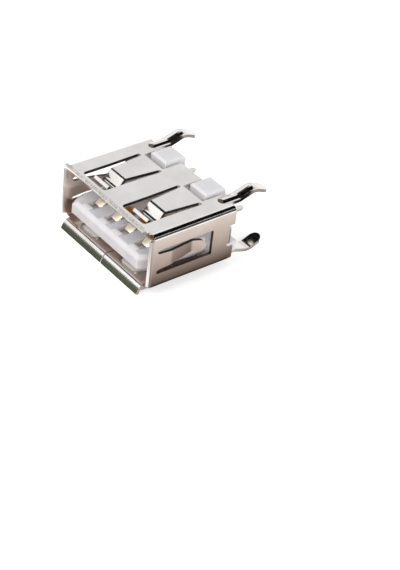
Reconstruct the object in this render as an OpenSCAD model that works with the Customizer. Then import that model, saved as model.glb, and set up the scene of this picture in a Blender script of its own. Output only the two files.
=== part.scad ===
// Upright through-board socket of the A type: a folded sheet-metal shell with lips round its mouth,
// six spring fingers, four kinked legs, a moulded insulator and four pressed-in contacts.
// It lies on the seam side of its shell. The mouth faces -Y, and the legs and contact tails point to +Y.

/* [Shell] */
// Outside width of the folded tube
shell_w = 13.1; // [12.8:0.05:13.6]
// Outside height of the folded tube
shell_h = 5.7; // [5.5:0.05:6.2]
// Length of the tube, front edge to rear edge
shell_l = 9.0; // [8.4:0.1:12]
// Thickness of the sheet
sheet = 0.3; // [0.2:0.01:0.34]
// Outside radius of the tube's four folds
fold_r = 0.6; // [0.45:0.05:0.9]
// Middle of the butt seam on the lower wall, off the middle plane
seam_x = 0.4; // [-0.5:0.05:0.5]
// Width of the butt seam
seam_gap = 0.1; // [0.05:0.01:0.2]

/* [Mouth lips] */
// How far each end of a lip stays in from the side of the tube
lip_inset = 0.8; // [0.65:0.05:1.5]
// Angle of the bend at which the upper and lower lips turn outwards
lip_turn = 52; // [40:1:60]
// Inside radius of a lip's bend
lip_bend_r = 0.25; // [0.1:0.05:0.4]
// Further angle by which a lip curls on as far as its edge
lip_curl = 18; // [10:1:25]
// Mid-sheet radius of that curl
lip_curl_r = 2.2; // [1.5:0.1:3]
// Depth of the relief at the tube's corners, behind its front edge
corner_relief = 0.15; // [0.1:0.05:0.6]
// How far the flared side walls stand ahead of the tube's front edge
side_lead = 0.22; // [0.1:0.02:0.4]
// Angle by which the side walls flare outwards
side_flare = 16; // [8:1:22]
// Height of a side wall's flared part, short of the tube's height at each end
side_flare_inset = 0.5; // [0.4:0.05:1]

/* [Upper and lower springs] */
// Middle of each spring, in from the side of the tube
spring_inset = 3.62; // [3.5:0.01:3.7]
// Width of a spring at its root
spring_root_w = 2.7; // [2.3:0.05:2.8]
// Width of a spring from its first bend to its free tip
spring_tip_w = 2.05; // [1.6:0.05:2.2]
// Width of the slits beside a spring's root
spring_slit = 0.38; // [0.25:0.01:0.42]
// Width of an upper spring's window ahead of its bend
window_w = 3.3; // [2.8:0.05:3.4]
// Front edge of a spring's window, from the wall's front edge
window_front = 0.38; // [0.3:0.02:0.6]
// Radius of the window's front corners
window_corner_r = 0.3; // [0.15:0.05:0.5]
// Place of the spring's first bend, from the wall's front edge
spring_bend_y = 3.2; // [2.9:0.05:3.5]
// How deep the upper springs reach in from the wall
upper_spring_drop = 0.82; // [0.6:0.02:1]
// Angle of the ramp after the first bend
spring_ramp = 54; // [45:1:60]
// Angle at which the free end turns back out
spring_rise = 46; // [35:1:50]
// Length of the free end
spring_end = 0.65; // [0.4:0.05:0.8]
// Metal left between the slits and the notches behind them
spring_bridge = 0.45; // [0.3:0.05:0.7]
// Front edge of a lower spring's window, from the wall's front edge
lower_window_front = 0.12; // [0.1:0.02:0.3]
// Radius of the lower window's front corners
lower_corner_r = 0.6; // [0.3:0.05:0.7]
// Width of a lower spring at its free tip
lower_tip_w = 2.2; // [1.9:0.05:2.3]
// Room between a lower spring's tip and its window's front edge
lower_tip_gap = 0.15; // [0.1:0.01:0.25]
// Angle at which a lower spring's long end runs back to its wall
lower_spring_rise = 10; // [8:1:14]

/* [Side springs] */
// Front end of a side slot, from the wall's front edge
side_slot_front = 0.6; // [0.55:0.05:1]
// Length of a side slot
side_slot_l = 6.0; // [5.7:0.1:6.4]
// Height of a side slot
side_slot_h = 2.5; // [2.2:0.05:2.7]
// Width of the slits above and below a side spring
side_slit = 0.4; // [0.3:0.02:0.46]
// Open length of the window behind a side spring's tip
side_window = 0.77; // [0.6:0.01:1]
// Height of a side spring from its kink to its tip
side_tip_h = 1.1; // [0.9:0.05:1.3]
// Straight length at a side spring's root
side_spring_root = 1.4; // [1:0.1:2]
// Angle at which a side spring leans in
side_spring_lean = 10; // [7:1:12]
// Angle at which a side spring's tip turns out again
side_spring_out = 25; // [15:1:30]
// Room between a side spring and the tongue
side_spring_clear = 0.27; // [0.2:0.01:0.4]

/* [Legs] */
// Middle of a leg, in from the side of the tube
leg_inset = 1.45; // [1.3:0.05:1.6]
// Width of a leg
leg_w = 1.2; // [1:0.05:1.3]
// Length of a leg behind the shell's rear edge
leg_l = 4.4; // [3.8:0.05:4.8]
// Straight length at a leg's root
leg_root = 0.95; // [0.5:0.05:1.1]
// How far the kink stands out from the wall
leg_kink = 0.45; // [0.3:0.05:0.6]
// Angle at which a leg rises to the kink's crest
leg_slope = 18; // [15:1:24]
// Angle at which a leg falls from the crest to its tip
leg_fall = 22; // [18:1:30]
// Mid-sheet radius of the bend at a leg's root
leg_bend_r = 0.8; // [0.5:0.05:1]
// Mid-sheet radius of the kink's crest
leg_crest_r = 1.4; // [0.8:0.05:1.6]
// Width of the stamped rib along a leg
rib_w = 0.56; // [0.3:0.02:0.7]
// Height of the stamped rib
rib_h = 0.1; // [0.06:0.01:0.15]
// Length of the rib ahead of the shell's rear edge
rib_lead = 0.62; // [0.3:0.02:0.7]

/* [Rear tabs] */
// Height of the tab folded in at the rear of each side wall
tab_h = 1.5; // [1.2:0.05:1.8]
// How far a tab reaches in from the outside of the wall
tab_reach = 1.2; // [0.9:0.05:1.4]
// Width of the relief slots above and below a tab
tab_relief = 0.36; // [0.25:0.01:0.45]
// Inside radius of a tab's fold
tab_fold_r = 0.15; // [0.1:0.01:0.25]
// How far a tab's rear face lies ahead of the shell's rear edge
tab_set_in = 0.1; // [0.05:0.01:0.3]

/* [Insulator] */
// Space between the tongue and each side wall
tongue_side_gap = 0.7; // [0.65:0.01:0.8]
// Thickness of the tongue
tongue_t = 1.84; // [1.6:0.02:2]
// Space between the tongue and the lower wall
tongue_gap = 0.55; // [0.5:0.01:0.7]
// How far the tongue's nose stands ahead of the tube's front edge
tongue_lead = 0.33; // [0.1:0.01:0.5]
// Width of the cut across each front corner of the tongue
tongue_corner_w = 0.67; // [0.4:0.01:0.9]
// Length of that cut
tongue_corner_l = 1.13; // [0.7:0.01:1.3]
// Height of the slope along the nose's upper edge
nose_slope_h = 0.27; // [0.2:0.01:0.4]
// Length of that slope
nose_slope_l = 0.45; // [0.3:0.05:0.6]
// Height of the slope along the nose's lower edge
nose_under_h = 0.69; // [0.4:0.01:0.8]
// Length of that slope
nose_under_l = 0.6; // [0.4:0.05:0.8]
// Chamfer along the tongue's upper long edges
tongue_edge = 0.15; // [0.1:0.05:0.3]
// Chamfer along the tongue's lower long edges
tongue_under_edge = 0.45; // [0.2:0.05:0.5]
// Front end of the pad ahead of each contact, from the wall's front edge
pad_front = 0.12; // [0.1:0.02:0.3]
// Length of a pad, behind which the contact's channel starts
pad_l = 0.53; // [0.4:0.01:0.7]
// Width of a pad
pad_w = 0.95; // [0.8:0.05:1.1]
// Height of a pad over the tongue's upper face
pad_rise = 0.07; // [0.04:0.01:0.1]
// Length of the block that fills the rear of the shell
base_l = 2.4; // [2.2:0.1:2.6]
// Room between the insulator and the shell
housing_gap = 0.05; // [0.03:0.01:0.1]
// How far the standoffs reach behind the shell
standoff = 0.7; // [0.4:0.05:1]
// Middle of each upper lug, in from the side of the tube
lug_inset = 3.65; // [3.5:0.05:3.75]
// Width of an upper lug
lug_w = 2.2; // [1.9:0.05:2.3]
// Length of an upper lug over the shell
lug_l = 1.55; // [1.4:0.05:1.8]
// Height of an upper lug over the shell
lug_rise = 0.32; // [0.2:0.02:0.5]
// Chamfer along the upper edges of a lug
lug_edge = 0.15; // [0.05:0.05:0.2]
// Room between the sides of a lug and its notch in the upper wall
notch_gap = 0.3; // [0.2:0.02:0.36]
// Room between the front of a lug and its notch
notch_front_gap = 0.55; // [0.4:0.01:0.6]
// Depth to which the block is cut away round a lug
moat_depth = 1.0; // [0.6:0.05:1.2]
// Thickness of the block left standing behind that cut
moat_wall = 0.5; // [0.3:0.05:0.7]
// Height of the standoffs' lower row
foot_h = 1.45; // [1.4:0.05:1.6]
// Width of the middle standoff
foot_mid_w = 5.4; // [4.6:0.1:5.6]
// Width of the outer standoffs
foot_end_w = 2.6; // [2:0.1:2.8]
// Depth of the hollow between the lugs
rear_hollow = 0.6; // [0.3:0.05:0.8]

/* [Locating peg] */
// Diameter of the peg
peg_d = 1.3; // [1:0.05:1.4]
// Length of the peg behind the standoffs
peg_l = 1.3; // [1:0.05:2]
// Chamfer at the peg's end
peg_chamfer = 0.2; // [0.1:0.05:0.3]

/* [Contacts] */
// Spacing of the two inner contacts
inner_pitch = 2.0; // [1.9:0.05:2.1]
// Spacing of an outer contact and its inner neighbour
outer_pitch = 2.5; // [2.4:0.05:2.6]
// Thickness of a contact
contact_t = 0.25; // [0.2:0.01:0.3]
// Width of a contact along the tongue
beam_w = 1.0; // [0.8:0.05:1.1]
// Width of a contact's tail
tail_w = 0.7; // [0.5:0.05:0.75]
// Length of a tail behind the standoffs
tail_l = 2.75; // [2.5:0.05:4]
// Bevel at a tail's tip
tail_bevel = 0.18; // [0.1:0.02:0.25]
// How far the beams stand out of the tongue's upper face
beam_proud = 0.18; // [0.1:0.02:0.22]
// Front end of the straight part of a beam, from the wall's front edge
beam_front = 4.4; // [4:0.05:4.6]
// Angle at which the beam climbs to its crown
crown_climb = 4; // [2:0.5:6]
// Length of that climb
crown_run = 1.4; // [1:0.1:1.6]
// Radius of the crown
crown_r = 1.0; // [0.8:0.05:1.1]
// Angle at which the tip dips into its channel
tip_dip = 36; // [25:1:40]
// Length of the dipping tip
tip_l = 0.55; // [0.3:0.05:0.6]
// Depth of a channel in the tongue's upper face
channel_depth = 0.62; // [0.6:0.02:0.7]
// Room between a beam's edge and its channel
channel_gap = 0.1; // [0.06:0.01:0.15]
// Room round a contact where it passes the block
slot_gap = 0.02; // [0.01:0.01:0.04]
// Depth of the pocket round a tail in the block's rear face
pocket_depth = 0.5; // [0.3:0.05:0.7]
// Room between a tail and its pocket
pocket_gap = 0.3; // [0.2:0.02:0.34]

/* [Hidden] */
$fn = 64;
// Overshoot of a cut past the face it opens
over = 0.5;
// Overlap of a bent strip with the wall that it grows from
lap = 0.1;
// Angle covered by one facet of a bend
arc_step = 6;
inner_w = shell_w - 2 * sheet;
inner_h = shell_h - 2 * sheet;
wall_z = (shell_h - sheet) / 2;
wall_x = (shell_w - sheet) / 2;
lip_w = shell_w - 2 * lip_inset;
side_flare_h = shell_h - 2 * side_flare_inset;
seat_y = shell_l + standoff;
lug_front = shell_l - lug_l;
notch_front = lug_front - notch_front_gap;
notch_w = lug_w + 2 * notch_gap;
slit_rear = notch_front - spring_bridge;
leg_x = shell_w / 2 - leg_inset;
spring_x = shell_w / 2 - spring_inset;
lug_x = shell_w / 2 - lug_inset;
base_front = shell_l - base_l;
base_w = inner_w - 2 * housing_gap;
base_h = inner_h - 2 * housing_gap;
base_r = fold_r - sheet;
tongue_front = -tongue_lead;
tongue_w = inner_w - 2 * tongue_side_gap;
tongue_z = -inner_h / 2 + tongue_gap;
tongue_top = tongue_z + tongue_t;
contact_z = tongue_top + beam_proud - contact_t / 2;
inner_x = inner_pitch / 2;
outer_x = inner_x + outer_pitch;
contact_places = [-outer_x, -inner_x, inner_x, outer_x];
shoulder_y = shell_l - pocket_depth - contact_t;
tail_end = seat_y + tail_l;
foot_z = -base_h / 2;
peg_z = foot_z + peg_d / 2;
tab_front = shell_l - tab_set_in - sheet - tab_fold_r;
// Height over the tube's axis of the lugs' undersides and of the hollow's floor between them
rear_step_z = base_h / 6;
// Room between a lower spring and the tongue
lower_spring_clear = 0.17;
lower_spring_drop = tongue_gap - lower_spring_clear;
side_spring_drop = tongue_side_gap - side_spring_clear;
// Mid-sheet radii of the bends in the flared sides, the springs and the contacts
flare_l = corner_relief + side_lead;
flare_r = 0.9 * flare_l / sin(side_flare);
spring_bend_r = sheet;
spring_foot_r = 2 * sheet;
side_lean_r = 1.5;
side_foot_r = 0.8;
climb_r = 5;
// Radius of the corners at a side spring's free tip
side_tip_r = 0.45 * side_tip_h;
// Length of a side spring's leaning part, and the place of the kink behind it
side_lean_run = offset_run(side_spring_drop, side_spring_lean, side_lean_r + side_foot_r);
side_lean_y = side_lean_r * sin(side_spring_lean) + side_lean_run * cos(side_spring_lean);
side_kink_y = side_slot_front + side_spring_root + side_lean_y;
// Space that the whole part takes up behind, ahead of and below the tube
lip_mid_r = lip_bend_r + sheet / 2;
lip_end = lip_turn + lip_curl;
lip_out = lip_mid_r * sin(lip_turn) + lip_curl_r * (sin(lip_end) - sin(lip_turn));
lip_up = lip_mid_r * (1 - cos(lip_turn)) + lip_curl_r * (cos(lip_turn) - cos(lip_end));
lip_reach = lip_out + sheet / 2 * sin(lip_end);
lip_rise = lip_up - sheet / 2 * (1 - cos(lip_end));
front_end = -lip_reach;
rear_end = max(tail_end, shell_l + leg_l);
rest_z = shell_h / 2 + max(lip_rise, leg_kink + rib_h);
mid_y = (front_end + rear_end) / 2;

// Moves a piece from the tube's axis to the frame in which the part lies on z = 0
module at_rest() {
    translate([0, -mid_y, rest_z]) children();
}

// Extrudes an outline drawn in X and Z from one Y to another
module along_y(from, to) {
    translate([0, to, 0]) rotate([90, 0, 0]) linear_extrude(to - from) children();
}

// Extrudes an outline drawn in Y and Z over a width centred on x
module across_x(x, width) {
    translate([x - width / 2, 0, 0]) rotate([90, 0, 90]) linear_extrude(width) children();
}

// Extrudes an outline drawn in X and Y from one Z to another
module upwards(from, to) {
    translate([0, 0, from]) linear_extrude(to - from) children();
}

// Rectangle with round corners, centred
module round_rect(width, height, radius) {
    square([width - 2 * radius, height], center = true);
    square([width, height - 2 * radius], center = true);
    for (x = [-1, 1], y = [-1, 1])
        translate([x * (width / 2 - radius), y * (height / 2 - radius)]) circle(radius);
}

// Place and heading after a turn on a radius; a place is [x, y, heading]
function turned(at, turn, radius) =
    let (side = sign(turn) * radius, a = at[2], b = at[2] + turn)
    [at[0] - side * sin(a) + side * sin(b), at[1] + side * cos(a) - side * cos(b), b];

// Places along a course of steps; each step is a straight run, then a turn by an angle on a radius
function course(steps, i = 0, at = [0, 0, 0]) =
    i == len(steps) ? [at] :
    let (
        run = steps[i][0],
        turn = steps[i][1],
        corner = [at[0] + run * cos(at[2]), at[1] + run * sin(at[2]), at[2]],
        count = ceil(abs(turn) / arc_step),
        arc = [for (k = [1:1:count]) turned(corner, turn * k / count, steps[i][2])],
        bend = concat([corner], [for (k = [0:1:count - 2]) arc[k]]),
        passed = concat(run > 0 ? [at] : [], count > 0 ? bend : [])
    )
    concat(passed, course(steps, i + 1, count > 0 ? arc[count - 1] : corner));

// A strip of sheet seen on edge, from the origin towards +X along the middle of the sheet
module strip(thick, steps) {
    places = course(steps);
    last = len(places) - 1;
    polygon(concat(
        [for (p = places) [p[0] - thick / 2 * sin(p[2]), p[1] + thick / 2 * cos(p[2])]],
        [for (k = [last:-1:0]) [places[k][0] + thick / 2 * sin(places[k][2]),
                                places[k][1] - thick / 2 * cos(places[k][2])]]
    ));
}

// Straight length between two equal and opposite bends that together shift a strip sideways
function offset_run(shift, angle, radii) = (shift - radii * (1 - cos(angle))) / sin(angle);

// Repeats the upper wall's features on the lower wall as well
module upper_and_lower() {
    children();
    mirror([0, 0, 1]) children();
}

// Repeats a feature on both sides of the middle plane
module both_sides() {
    children();
    mirror([1, 0, 0]) children();
}

// The tube's folded section, without its seam
module tube_section() {
    difference() {
        round_rect(shell_w, shell_h, fold_r);
        round_rect(inner_w, inner_h, fold_r - sheet);
    }
}

// Upper lip: the wall runs on to its front edge, then turns outwards and curls on
module lip() {
    across_x(0, lip_w)
        translate([corner_relief + lap, wall_z])
            mirror([1, 0])
                strip(sheet, [[corner_relief + lap, lip_turn, lip_mid_r], [0, lip_curl, lip_curl_r]]);
}

// Flared front part of the right side wall
module flared_side() {
    flare_run = (flare_l - flare_r * sin(side_flare)) / cos(side_flare);
    upwards(-side_flare_h / 2, side_flare_h / 2)
        translate([wall_x, corner_relief + lap])
            rotate(-90) strip(sheet, [[lap, side_flare, flare_r], [flare_run, 0, 0]]);
}

// Plan that narrows from a rear width to a front width at the springs' bend, with round front corners
module narrowing_plan(rear, rear_w, front, front_w, r) {
    polygon([
        [-rear_w / 2, rear],
        [-front_w / 2, spring_bend_y],
        [-front_w / 2, front + r],
        [-front_w / 2 + r, front],
        [front_w / 2 - r, front],
        [front_w / 2, front + r],
        [front_w / 2, spring_bend_y],
        [rear_w / 2, rear]
    ]);
    for (side = [-1, 1])
        translate([side * (front_w / 2 - r), front + r]) circle(r);
}

// Opening of a spring: a window ahead of its tip and a slit along each side
module spring_opening(front, front_w, r) {
    rear_w = spring_root_w + 2 * spring_slit;
    upwards(wall_z - sheet, shell_h) {
        narrowing_plan(slit_rear, rear_w, front, front_w, r);
        for (side = [-1, 1])
            translate([side * (rear_w - spring_slit) / 2, slit_rear]) circle(spring_slit / 2);
    }
}

// A spring: a flat beam, a ramp down, a rounded foot and a free end that runs back to its wall
module spring(drop, foot_r, rise, end_l, front, tip_w, r) {
    ramp_run = offset_run(drop, spring_ramp, spring_bend_r + foot_r);
    root = slit_rear + lap;
    intersection() {
        across_x(0, spring_root_w)
            translate([root, wall_z])
                mirror([1, 0])
                    strip(sheet, [
                        [root - spring_bend_y, -spring_ramp, spring_bend_r],
                        [ramp_run, spring_ramp + rise, foot_r],
                        [end_l, 0, 0]
                    ]);
        upwards(-shell_h, shell_h) narrowing_plan(root, spring_root_w, front, tip_w, r);
    }
}

// The upper wall's right spring, with a short end that turns up
module upper_spring() {
    spring(upper_spring_drop, spring_foot_r, spring_rise, spring_end,
           window_front, spring_tip_w, window_corner_r);
}

// The lower wall's right spring, with a long end that fills its window, drawn on the upper wall
module lower_spring() {
    tip = lower_window_front + lower_tip_gap;
    tip_r = lower_corner_r - lower_tip_gap;
    spring(lower_spring_drop, spring_bend_r, lower_spring_rise, spring_bend_y,
           tip, lower_tip_w, tip_r);
}

// Plan of a side slot, drawn in Y and Z
module side_opening() {
    translate([side_slot_front + side_slit / 2, -side_slot_h / 2])
        square([side_slot_l - side_slit / 2, side_slot_h]);
    for (side = [-1, 1])
        translate([side_slot_front + side_slit / 2, side * (side_slot_h - side_slit) / 2])
            circle(side_slit / 2);
}

// Outline of a side spring, drawn in Y and Z: it narrows to its kink and has a rounded free tip
module side_spring_outline() {
    root_half = side_slot_h / 2 - side_slit;
    half = side_tip_h / 2;
    tip = side_slot_front + side_slot_l - side_window;
    root = side_slot_front - lap;
    r = side_tip_r;
    polygon([
        [root, -root_half],
        [side_kink_y, -half],
        [tip - r, -half],
        [tip, -half + r],
        [tip, half - r],
        [tip - r, half],
        [side_kink_y, half],
        [root, root_half]
    ]);
    for (side = [-1, 1])
        translate([tip - r, side * (half - r)]) circle(r);
}

// Right side spring: it leans in from its root at the mouth, and its tip turns out again
module side_spring() {
    intersection() {
        upwards(-side_slot_h, side_slot_h)
            translate([wall_x, side_slot_front - lap])
                rotate(90)
                    strip(sheet, [
                        [side_spring_root + lap, side_spring_lean, side_lean_r],
                        [side_lean_run, -side_spring_lean - side_spring_out, side_foot_r],
                        [side_slot_l, 0, 0]
                    ]);
        across_x(wall_x, shell_w / 2) side_spring_outline();
    }
}

// The course of an upper leg, from the shell's rear edge to a little past its tip
function leg_steps() =
    let (
        rise_run = offset_run(leg_kink, leg_slope, leg_bend_r + leg_crest_r),
        end_run = (shell_l + leg_l - leg_crest_y(rise_run)) / cos(leg_fall)
    )
    [
        [leg_root, leg_slope, leg_bend_r],
        [rise_run, -leg_slope - leg_fall, leg_crest_r],
        [end_run, 0, 0]
    ];

// Place of the crest of a leg's kink, for the length of its rising part
function leg_crest_y(rise_run) =
    shell_l + leg_root + (leg_bend_r + leg_crest_r) * sin(leg_slope) + rise_run * cos(leg_slope);

// Plan of a leg with its rounded tip
module leg_plan() {
    tip = shell_l + leg_l;
    translate([-leg_w / 2, shell_l - sheet]) square([leg_w, leg_l + sheet - leg_w / 2]);
    translate([0, tip - leg_w / 2]) circle(leg_w / 2);
}

// Upper leg, with the rib that is stamped along it as far as the kink's crest
module leg() {
    steps = leg_steps();
    crest = leg_crest_y(steps[1][0]);
    intersection() {
        across_x(0, leg_w)
            translate([shell_l - sheet, wall_z])
                strip(sheet, concat([[sheet, 0, 0]], steps));
        upwards(0, shell_h) leg_plan();
    }
    intersection() {
        across_x(0, rib_w)
            translate([shell_l - rib_lead, wall_z + sheet / 2])
                strip(2 * rib_h, concat([[rib_lead, 0, 0]], outer_steps(steps, sheet / 2)));
        upwards(0, shell_h) {
            translate([-rib_w / 2, shell_l - rib_lead + rib_w / 2])
                square([rib_w, crest - shell_l + rib_lead - rib_w]);
            for (y = [shell_l - rib_lead + rib_w / 2, crest - rib_w / 2])
                translate([0, y]) circle(rib_w / 2);
        }
    }
}

// The same course followed at a distance outside the middle of the sheet
function outer_steps(steps, out) = [for (s = steps) [s[0], s[1], s[2] - sign(s[1]) * out]];

// Tab folded in at the rear of the right side wall
module rear_tab() {
    upwards(-tab_h / 2, tab_h / 2)
        translate([wall_x, tab_front - over])
            rotate(90)
                strip(sheet, [
                    [over, 90, tab_fold_r + sheet / 2],
                    [tab_reach - sheet - tab_fold_r, 0, 0]
                ]);
}

// Room cut from the rear of the right side wall for its tab and the two relief slots
module tab_room() {
    across_x(shell_w / 2, 2 * fold_r) {
        translate([tab_front, -tab_h / 2 - tab_relief])
            square([shell_l, tab_h + 2 * tab_relief]);
        for (side = [-1, 1])
            translate([tab_front, side * (tab_h + tab_relief) / 2]) {
                translate([0, -tab_relief / 2]) square([shell_l, tab_relief]);
                circle(tab_relief / 2);
            }
    }
}

// Shell: the tube with its openings, then what is bent out of the same sheet
module shell() {
    color([0.80, 0.78, 0.75]) at_rest() {
        difference() {
            union() {
                along_y(corner_relief, shell_l) tube_section();
                upper_and_lower() lip();
                both_sides() flared_side();
            }
            both_sides() {
                translate([spring_x, 0, 0]) spring_opening(window_front, window_w, window_corner_r);
                mirror([0, 0, 1]) translate([spring_x, 0, 0])
                    spring_opening(lower_window_front, lower_tip_w + 2 * spring_slit, lower_corner_r);
                upwards(wall_z - sheet, shell_h)
                    translate([lug_x - notch_w / 2, notch_front]) square([notch_w, shell_l]);
                across_x(wall_x, 2 * fold_r) side_opening();
                tab_room();
            }
            upwards(-shell_h, -wall_z + sheet)
                translate([seam_x - seam_gap / 2, front_end - over])
                    square([seam_gap, shell_l + lip_reach + 2 * over]);
        }
        both_sides() {
            translate([spring_x, 0, 0]) upper_spring();
            mirror([0, 0, 1]) translate([spring_x, 0, 0]) lower_spring();
            side_spring();
            rear_tab();
            upper_and_lower() translate([leg_x, 0, 0]) leg();
        }
    }
}

// Side view of the tongue from its front face on, with the slopes of its nose
module nose_side(length) {
    polygon([
        [0, tongue_z + nose_under_h],
        [0, tongue_top - nose_slope_h],
        [nose_slope_l, tongue_top],
        [length, tongue_top],
        [length, tongue_z],
        [nose_under_l, tongue_z]
    ]);
}

// End view of the tongue, with its long edges chamfered
module tongue_end() {
    half = tongue_w / 2;
    polygon([
        [-half, tongue_z + tongue_under_edge],
        [-half, tongue_top - tongue_edge],
        [-half + tongue_edge, tongue_top],
        [half - tongue_edge, tongue_top],
        [half, tongue_top - tongue_edge],
        [half, tongue_z + tongue_under_edge],
        [half - tongue_under_edge, tongue_z],
        [-half + tongue_under_edge, tongue_z]
    ]);
}

// Pad on the tongue's upper face ahead of a contact, its front sloped
module pad(x) {
    across_x(x, pad_w) polygon([
        [pad_front, tongue_top - pad_rise],
        [pad_front + pad_rise, tongue_top + pad_rise],
        [pad_front + pad_l, tongue_top + pad_rise],
        [pad_front + pad_l, tongue_top - pad_rise]
    ]);
}

// Nose's side view drawn along the cut of its right (1) or left (-1) corner
module nose_corner(side) {
    turn = atan2(tongue_corner_l, tongue_corner_w);
    translate([side * (tongue_w / 2 - tongue_corner_w), tongue_front, 0])
        rotate([0, 0, side * turn]) across_x(0, 4 * tongue_w) nose_side(2 * tongue_w);
}

// Tongue that carries the contacts' beams; its nose slopes alike across its front and its cut corners
module tongue() {
    channel_w = beam_w + 2 * channel_gap;
    channel_front = pad_front + pad_l;
    difference() {
        union() {
            intersection() {
                translate([0, tongue_front, 0]) across_x(0, tongue_w) nose_side(2 * tongue_w);
                along_y(tongue_front, base_front + over) tongue_end();
                nose_corner(1);
                nose_corner(-1);
            }
            for (x = contact_places) pad(x);
        }
        for (x = contact_places)
            across_x(x, channel_w)
                translate([channel_front, tongue_top - channel_depth])
                    square([base_front - channel_front, channel_depth + over]);
    }
}

// End view of an upper lug, its upper edges chamfered
module lug_end() {
    half = lug_w / 2;
    top = shell_h / 2 + lug_rise;
    polygon([
        [-half, 0],
        [-half, top - lug_edge],
        [-half + lug_edge, top],
        [half - lug_edge, top],
        [half, top - lug_edge],
        [half, 0]
    ]);
}

// Side view of an upper lug: it stands out of the upper wall's notch and reaches back to the seat
module lug_side() {
    top = shell_h / 2 + lug_rise;
    polygon([
        [lug_front, 0],
        [lug_front, top - lug_edge],
        [lug_front + lug_edge, top],
        [seat_y - lug_edge, top],
        [seat_y, top - lug_edge],
        [seat_y, rear_step_z],
        [shell_l, 0]
    ]);
}

// Slots that hold one contact in the block, and the pocket round its tail
module contact_slot(x) {
    tall = contact_t + 2 * slot_gap;
    translate([0, 0, contact_z]) {
        across_x(x, beam_w + 2 * slot_gap)
            translate([base_front - over, -tall / 2])
                square([shoulder_y + slot_gap - base_front + over, tall]);
        across_x(x, tail_w + 2 * slot_gap)
            translate([base_front, -tall / 2]) square([shell_l + over - base_front, tall]);
        across_x(x, tail_w + 2 * pocket_gap)
            translate([shell_l - pocket_depth, -tall / 2 - pocket_gap])
                square([pocket_depth + standoff + over, tall + 2 * pocket_gap]);
    }
}

// Locating peg with a chamfered end
module peg() {
    translate([0, seat_y - over, peg_z]) rotate([-90, 0, 0]) {
        cylinder(d = peg_d, h = over + peg_l - peg_chamfer);
        translate([0, 0, over + peg_l - peg_chamfer])
            cylinder(d1 = peg_d, d2 = peg_d - 2 * peg_chamfer, h = peg_chamfer);
    }
}

// Insulator: the block in the shell's rear with its tongue, lugs, standoffs and peg
module housing() {
    foot_end_x = (base_w - foot_end_w) / 2;
    hollow_w = 2 * lug_x - lug_w;
    tab_room_w = tab_reach + housing_gap;
    color([0.93, 0.94, 0.96]) at_rest() difference() {
        union() {
            difference() {
                along_y(base_front, shell_l) round_rect(base_w, base_h, base_r);
                both_sides()
                    upwards(base_h / 2 - moat_depth, shell_h)
                        translate([lug_x - notch_w / 2, base_front - over])
                            square([notch_w, base_l - moat_wall + over]);
            }
            tongue();
            both_sides() intersection() {
                along_y(lug_front, seat_y) translate([lug_x, 0]) lug_end();
                across_x(lug_x, lug_w) lug_side();
            }
            along_y(shell_l - over, seat_y) {
                translate([-foot_mid_w / 2, foot_z]) square([foot_mid_w, foot_h]);
                for (side = [-1, 1])
                    translate([side * foot_end_x - foot_end_w / 2, foot_z + base_r])
                        square([foot_end_w, foot_h - base_r]);
            }
            peg();
        }
        for (x = contact_places) contact_slot(x);
        across_x(0, hollow_w)
            translate([shell_l - rear_hollow, rear_step_z]) square([shell_l, base_h]);
        both_sides()
            across_x(shell_w / 2 - tab_room_w / 2, tab_room_w)
                translate([tab_front, -tab_h / 2 - tab_relief])
                    square([shell_l, tab_h + 2 * tab_relief]);
    }
}

// Side view of a contact: tail, straight beam, climb to the crown and dipping tip
module contact_side() {
    translate([tail_end, contact_z])
        mirror([1, 0])
            strip(contact_t, [
                [tail_end - beam_front, crown_climb, climb_r],
                [crown_run, -crown_climb - tip_dip, crown_r],
                [tip_l, 0, 0]
            ]);
}

// Plan of a contact: the beam, then the narrower tail with its bevelled tip
module contact_plan() {
    half_beam = beam_w / 2;
    half_tail = tail_w / 2;
    polygon([
        [-half_beam, 0],
        [-half_beam, shoulder_y],
        [-half_tail, shoulder_y],
        [-half_tail, tail_end - 2 * tail_bevel],
        [-half_tail + tail_bevel, tail_end],
        [half_tail - tail_bevel, tail_end],
        [half_tail, tail_end - 2 * tail_bevel],
        [half_tail, shoulder_y],
        [half_beam, shoulder_y],
        [half_beam, 0]
    ]);
}

// One pressed-in contact
module contact(x) {
    color([0.86, 0.66, 0.28]) at_rest() translate([x, 0, 0]) intersection() {
        across_x(0, beam_w) contact_side();
        upwards(-shell_h, shell_h) contact_plan();
    }
}

module contact_1() { contact(contact_places[0]); }
module contact_2() { contact(contact_places[1]); }
module contact_3() { contact(contact_places[2]); }
module contact_4() { contact(contact_places[3]); }

shell();
housing();
contact_1();
contact_2();
contact_3();
contact_4();
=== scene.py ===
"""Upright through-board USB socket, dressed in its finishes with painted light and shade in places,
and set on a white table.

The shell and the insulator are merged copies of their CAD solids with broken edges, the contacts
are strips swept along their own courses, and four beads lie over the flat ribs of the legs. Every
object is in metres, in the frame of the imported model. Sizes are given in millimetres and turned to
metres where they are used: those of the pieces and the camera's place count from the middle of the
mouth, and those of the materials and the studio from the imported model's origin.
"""

import logging
import math
from dataclasses import dataclass
from enum import Enum
from typing import Any, Sequence

import bmesh
import bpy
import numpy as np
from mathutils import Matrix, Vector


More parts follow.
